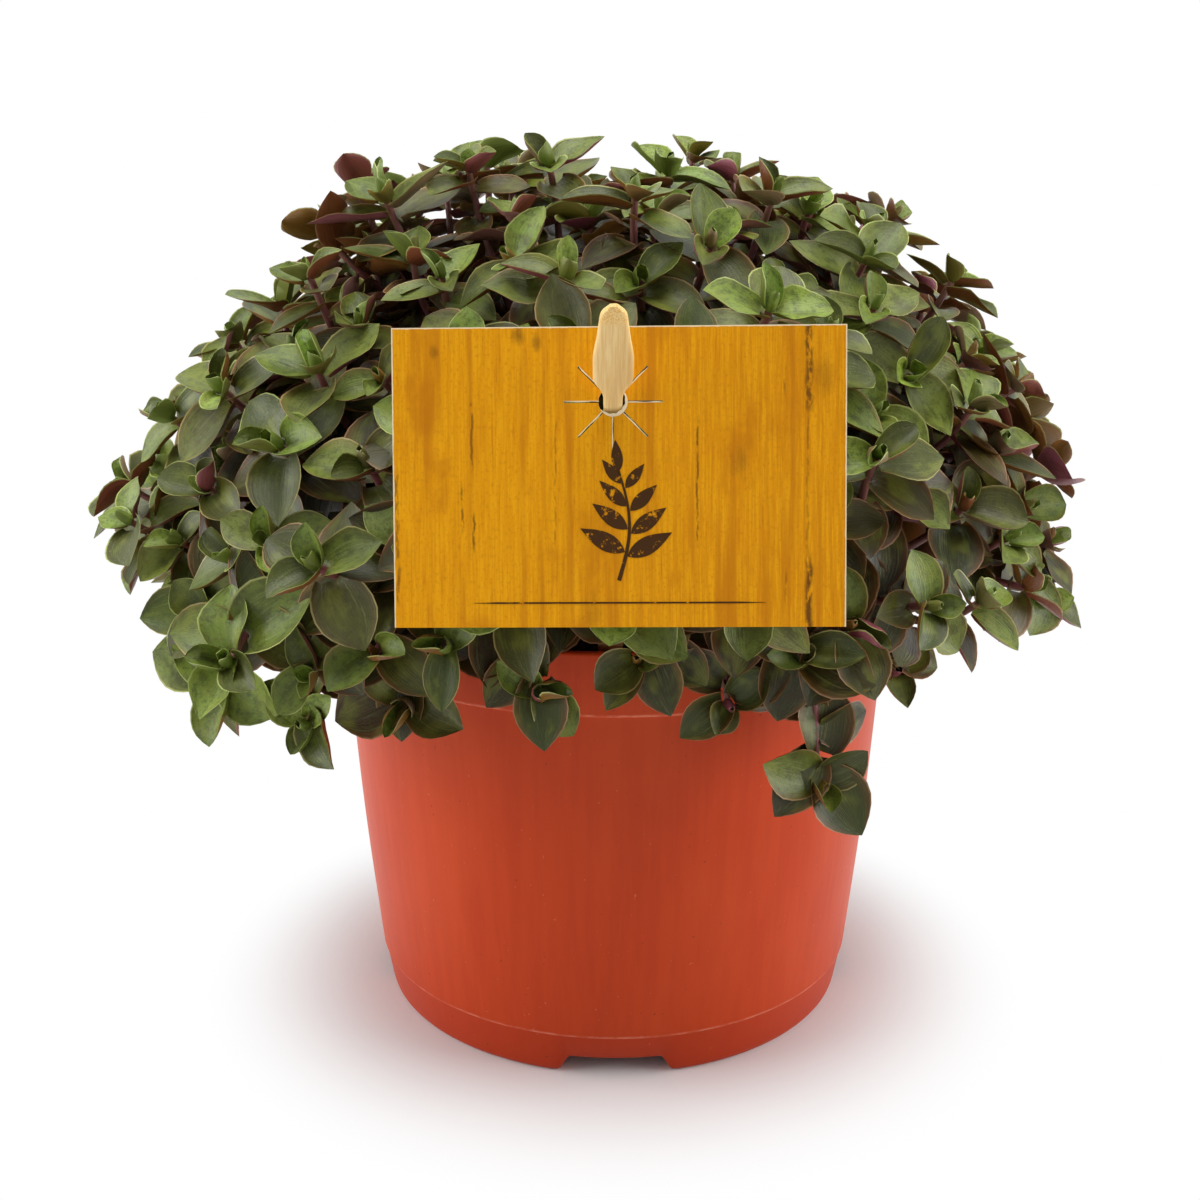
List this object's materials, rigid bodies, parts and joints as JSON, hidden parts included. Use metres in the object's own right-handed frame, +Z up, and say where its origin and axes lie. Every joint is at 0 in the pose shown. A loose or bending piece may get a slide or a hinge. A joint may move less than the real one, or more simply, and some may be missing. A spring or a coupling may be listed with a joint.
{
  "type": "potted turtle vine",
  "caption": "Rounded mound of small-leaved creeping stems rooted in soil in a tapered nursery pot, with a plain card held in front on a wooden pick.",
  "frame": {"origin": "centre of the pot's footprint, on the surface that the pot stands on", "axes": "+Z up along the pot's axis, -Y towards the card at the front, +X to the right seen from the front"},
  "size_m": [0.216, 0.216, 0.1819],
  "materials": {
    "moulded_plastic": "satin",
    "potting_soil": "matte",
    "leaf_and_stem": "satin",
    "printed_card": "satin",
    "pale_wood": "matte"
  },
  "bodies": {
    "root": {"pot": "moulded_plastic", "soil": "potting_soil", "label_card": "printed_card", "label_pick": "pale_wood", "shoot_01": "leaf_and_stem", "shoot_02": "leaf_and_stem", "shoot_03": "leaf_and_stem", "shoot_04": "leaf_and_stem", "shoot_05": "leaf_and_stem", "shoot_06": "leaf_and_stem", "shoot_07": "leaf_and_stem", "shoot_08": "leaf_and_stem", "shoot_09": "leaf_and_stem", "shoot_10": "leaf_and_stem", "shoot_11": "leaf_and_stem", "shoot_12": "leaf_and_stem", "shoot_13": "leaf_and_stem", "shoot_14": "leaf_and_stem", "shoot_15": "leaf_and_stem", "shoot_16": "leaf_and_stem", "shoot_17": "leaf_and_stem", "shoot_18": "leaf_and_stem", "shoot_19": "leaf_and_stem", "shoot_20": "leaf_and_stem", "shoot_21": "leaf_and_stem", "shoot_22": "leaf_and_stem", "shoot_23": "leaf_and_stem", "shoot_24": "leaf_and_stem", "shoot_25": "leaf_and_stem", "shoot_26": "leaf_and_stem", "shoot_27": "leaf_and_stem", "shoot_28": "leaf_and_stem", "shoot_29": "leaf_and_stem", "shoot_30": "leaf_and_stem", "shoot_31": "leaf_and_stem", "shoot_32": "leaf_and_stem", "shoot_33": "leaf_and_stem", "shoot_34": "leaf_and_stem", "shoot_35": "leaf_and_stem", "shoot_36": "leaf_and_stem", "shoot_37": "leaf_and_stem", "shoot_38": "leaf_and_stem", "shoot_39": "leaf_and_stem", "shoot_40": "leaf_and_stem", "shoot_41": "leaf_and_stem"}
  },
  "joints": []
}
